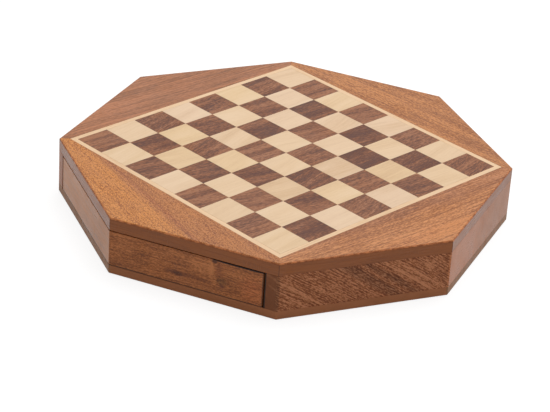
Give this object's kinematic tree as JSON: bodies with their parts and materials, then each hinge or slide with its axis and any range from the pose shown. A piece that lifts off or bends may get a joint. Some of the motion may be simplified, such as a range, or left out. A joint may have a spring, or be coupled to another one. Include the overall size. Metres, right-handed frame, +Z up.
{
  "type": "chess box with drawers",
  "caption": "Flat octagonal wooden chess box with an inlaid board on top and drawers that slide out at opposite corners.",
  "frame": {"origin": "centre of the underside, on the surface that the box stands on", "axes": "+Z up out of the board, -Y towards the corner that the front drawer's boards form, +X to the right of a player who sits at the front drawer"},
  "size_m": [0.225, 0.225, 0.0295],
  "materials": {
    "bottom_board": "satin varnish, brown stained",
    "side_block": "satin varnish, brown stained, grain running slantwise down the face",
    "carcass_wood": "bare, planed",
    "core_board": "bare",
    "lipping": "satin varnish, brown stained",
    "corner_veneer": "satin varnish, warm orange brown with open pores",
    "pale_line": "satin varnish, pale",
    "dark_square": "satin varnish, purple brown",
    "light_square": "satin varnish, cream",
    "drawer_front": "satin varnish, brown, grain along the board",
    "drawer_wall": "bare, planed",
    "drawer_floor": "bare plywood",
    "felt": "wool felt, deep green"
  },
  "bodies": {
    "case": {"bottom_board": "bottom_board", "side_block_left": "side_block", "side_block_right": "side_block", "drawer_stop_bar": "carcass_wood", "top_core": "core_board", "lipping_right_back": "lipping", "lipping_back_right": "lipping", "lipping_back_left": "lipping", "lipping_left_back": "lipping", "lipping_left_front": "lipping", "lipping_front_left": "lipping", "lipping_front_right": "lipping", "lipping_right_front": "lipping", "corner_veneer_right": "corner_veneer", "corner_veneer_back": "corner_veneer", "corner_veneer_left": "corner_veneer", "corner_veneer_front": "corner_veneer", "board_line_right": "pale_line", "board_line_back": "pale_line", "board_line_left": "pale_line", "board_line_front": "pale_line", "dark_squares_rank_1": "dark_square", "dark_squares_rank_2": "dark_square", "dark_squares_rank_3": "dark_square", "dark_squares_rank_4": "dark_square", "dark_squares_rank_5": "dark_square", "dark_squares_rank_6": "dark_square", "dark_squares_rank_7": "dark_square", "dark_squares_rank_8": "dark_square", "light_squares_rank_1": "light_square", "light_squares_rank_2": "light_square", "light_squares_rank_3": "light_square", "light_squares_rank_4": "light_square", "light_squares_rank_5": "light_square", "light_squares_rank_6": "light_square", "light_squares_rank_7": "light_square", "light_squares_rank_8": "light_square"},
    "front_drawer": {"front_drawer_front_board_left": "drawer_front", "front_drawer_front_board_right": "drawer_front", "front_drawer_side_board_left": "drawer_wall", "front_drawer_side_board_right": "drawer_wall", "front_drawer_back_board": "drawer_wall", "front_drawer_floor": "drawer_floor", "front_drawer_felt": "felt"},
    "back_drawer": {"back_drawer_front_board_left": "drawer_front", "back_drawer_front_board_right": "drawer_front", "back_drawer_side_board_left": "drawer_wall", "back_drawer_side_board_right": "drawer_wall", "back_drawer_back_board": "drawer_wall", "back_drawer_floor": "drawer_floor", "back_drawer_felt": "felt"}
  },
  "joints": [
    {"name": "front_drawer_slide", "type": "slide", "parent": "case", "child": "front_drawer", "axis": [0, -1, 0], "range_m": [0, 0.065]},
    {"name": "back_drawer_slide", "type": "slide", "parent": "case", "child": "back_drawer", "axis": [0, 1, 0], "range_m": [0, 0.065]}
  ]
}
